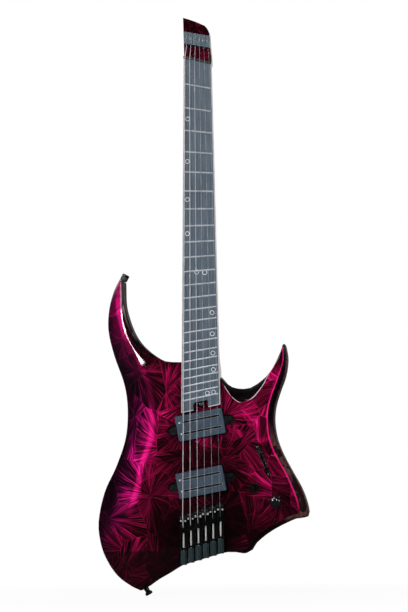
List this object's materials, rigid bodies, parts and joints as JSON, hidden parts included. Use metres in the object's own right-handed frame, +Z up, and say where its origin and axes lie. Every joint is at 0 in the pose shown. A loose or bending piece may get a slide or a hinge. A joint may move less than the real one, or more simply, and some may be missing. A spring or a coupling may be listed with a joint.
{
  "type": "headless electric guitar",
  "caption": "Headless electric guitar with slanted frets, sharp horned body, rail pickups, single-string bridge units with tuner knobs, blade selector, mini toggle and volume knob.",
  "frame": {"origin": "on the flat back of the body, on the neck's centre line, 69 mm above the lowest bass saddle line", "axes": "+Z up the neck, -Y out of the front, +X to the treble side"},
  "size_m": [0.3067, 0.0609, 0.8495],
  "materials": {
    "lacquered_body": "clear gloss lacquer over magenta streaks that darken to black at the edges",
    "dark_wine_wood": "satin dark wine lacquer",
    "slate_board": "oiled slate-grey board with bright frets",
    "pale_binding": "pale pinkish strip",
    "black_nut": "plain",
    "dark_rod": "dark steel",
    "slate_wheel": "grey-green steel",
    "slate_metal": "anodised slate",
    "slate_cover": "satin slate",
    "black_rails": "black steel",
    "black_bridge": "satin black with bright screws",
    "string_wire": "bright steel, wound on the bass side",
    "slate_knob": "anodised slate, on bright steel rods",
    "plain_steel": "plain",
    "black_control": "gloss black",
    "black_plastic": "moulded black",
    "slate_button": "satin slate"
  },
  "bodies": {
    "guitar": {"body": "lacquered_body", "neck": "dark_wine_wood", "fretboard": "slate_board", "binding_bass": "pale_binding", "binding_treble": "pale_binding", "nut": "black_nut", "truss_rod": "dark_rod", "headpiece_base": "slate_metal", "string_clamp_1": "slate_metal", "string_clamp_2": "slate_metal", "string_clamp_3": "slate_metal", "string_clamp_4": "slate_metal", "string_clamp_5": "slate_metal", "string_clamp_6": "slate_metal", "neck_pickup": "slate_cover", "bridge_pickup": "slate_cover", "neck_pickup_rails": "black_rails", "bridge_pickup_rails": "black_rails", "bridge_base_1": "black_bridge", "bridge_base_2": "black_bridge", "bridge_base_3": "black_bridge", "bridge_base_4": "black_bridge", "bridge_base_5": "black_bridge", "bridge_base_6": "black_bridge", "bridge_saddle_1": "black_bridge", "bridge_saddle_2": "black_bridge", "bridge_saddle_3": "black_bridge", "bridge_saddle_4": "black_bridge", "bridge_saddle_5": "black_bridge", "bridge_saddle_6": "black_bridge", "string_1": "string_wire", "string_2": "string_wire", "string_3": "string_wire", "string_4": "string_wire", "string_5": "string_wire", "string_6": "string_wire", "volume_pot": "plain_steel", "toggle_switch": "black_control", "selector_bezel": "black_control", "output_jack": "black_control", "selector_switch": "black_plastic", "control_cover": "black_plastic", "strap_button_horn": "slate_button", "strap_button_tail": "slate_button"},
    "tuner_knob_1": {"tuner_knob_1": "slate_knob"},
    "tuner_knob_2": {"tuner_knob_2": "slate_knob"},
    "tuner_knob_3": {"tuner_knob_3": "slate_knob"},
    "tuner_knob_4": {"tuner_knob_4": "slate_knob"},
    "tuner_knob_5": {"tuner_knob_5": "slate_knob"},
    "tuner_knob_6": {"tuner_knob_6": "slate_knob"},
    "tuner_carriage_1": {"tuner_carriage_1": "slate_knob"},
    "tuner_carriage_2": {"tuner_carriage_2": "slate_knob"},
    "tuner_carriage_3": {"tuner_carriage_3": "slate_knob"},
    "tuner_carriage_4": {"tuner_carriage_4": "slate_knob"},
    "tuner_carriage_5": {"tuner_carriage_5": "slate_knob"},
    "tuner_carriage_6": {"tuner_carriage_6": "slate_knob"},
    "volume_knob": {"volume_knob": "black_control"},
    "toggle_lever": {"toggle_lever": "black_control"},
    "selector_lever": {"selector_lever": "black_plastic"},
    "truss_wheel": {"truss_wheel": "slate_wheel"}
  },
  "joints": [
    {"name": "tuner_turn_1", "type": "hinge", "parent": "guitar", "child": "tuner_knob_1", "pos_m": [-0.027, -0.0476, -0.12], "axis": [0, 0, 1], "range_deg": [-1800, 1800]},
    {"name": "tuner_slide_1", "type": "slide", "parent": "guitar", "child": "tuner_carriage_1", "axis": [0, 0, 1], "range_m": [-0.0025, 0.0025]},
    {"name": "tuner_turn_2", "type": "hinge", "parent": "guitar", "child": "tuner_knob_2", "pos_m": [-0.0162, -0.0476, -0.12], "axis": [0, 0, 1], "range_deg": [-1800, 1800]},
    {"name": "tuner_slide_2", "type": "slide", "parent": "guitar", "child": "tuner_carriage_2", "axis": [0, 0, 1], "range_m": [-0.0025, 0.0025]},
    {"name": "tuner_turn_3", "type": "hinge", "parent": "guitar", "child": "tuner_knob_3", "pos_m": [-0.0054, -0.0476, -0.12], "axis": [0, 0, 1], "range_deg": [-1800, 1800]},
    {"name": "tuner_slide_3", "type": "slide", "parent": "guitar", "child": "tuner_carriage_3", "axis": [0, 0, 1], "range_m": [-0.0025, 0.0025]},
    {"name": "tuner_turn_4", "type": "hinge", "parent": "guitar", "child": "tuner_knob_4", "pos_m": [0.0054, -0.0476, -0.12], "axis": [0, 0, 1], "range_deg": [-1800, 1800]},
    {"name": "tuner_slide_4", "type": "slide", "parent": "guitar", "child": "tuner_carriage_4", "axis": [0, 0, 1], "range_m": [-0.0025, 0.0025]},
    {"name": "tuner_turn_5", "type": "hinge", "parent": "guitar", "child": "tuner_knob_5", "pos_m": [0.0162, -0.0476, -0.12], "axis": [0, 0, 1], "range_deg": [-1800, 1800]},
    {"name": "tuner_slide_5", "type": "slide", "parent": "guitar", "child": "tuner_carriage_5", "axis": [0, 0, 1], "range_m": [-0.0025, 0.0025]},
    {"name": "tuner_turn_6", "type": "hinge", "parent": "guitar", "child": "tuner_knob_6", "pos_m": [0.027, -0.0476, -0.12], "axis": [0, 0, 1], "range_deg": [-1800, 1800]},
    {"name": "tuner_slide_6", "type": "slide", "parent": "guitar", "child": "tuner_carriage_6", "axis": [0, 0, 1], "range_m": [-0.0025, 0.0025]},
    {"name": "volume_turn", "type": "hinge", "parent": "guitar", "child": "volume_knob", "pos_m": [0.1076, -0.05, -0.0481], "axis": [0, -1, 0], "range_deg": [-150, 150]},
    {"name": "toggle_swing", "type": "hinge", "parent": "guitar", "child": "toggle_lever", "pos_m": [0.076, -0.0411, -0.0277], "axis": [1, 0, 0], "range_deg": [-11, 11]},
    {"name": "selector_swing", "type": "hinge", "parent": "guitar", "child": "selector_lever", "pos_m": [0.0895, -0.022, 0.0109], "axis": [-0.9298, 0, -0.3681], "range_deg": [0, 48]},
    {"name": "truss_turn", "type": "hinge", "parent": "guitar", "child": "truss_wheel", "pos_m": [0, -0.0388, 0.095], "axis": [0, 0, 1], "range_deg": [-360, 360]}
  ],
  "couplings": [
    {"joint": "tuner_turn_1", "follows": "tuner_slide_1", "rad_per_m": 12566},
    {"joint": "tuner_turn_2", "follows": "tuner_slide_2", "rad_per_m": 12566},
    {"joint": "tuner_turn_3", "follows": "tuner_slide_3", "rad_per_m": 12566},
    {"joint": "tuner_turn_4", "follows": "tuner_slide_4", "rad_per_m": 12566},
    {"joint": "tuner_turn_5", "follows": "tuner_slide_5", "rad_per_m": 12566},
    {"joint": "tuner_turn_6", "follows": "tuner_slide_6", "rad_per_m": 12566}
  ]
}
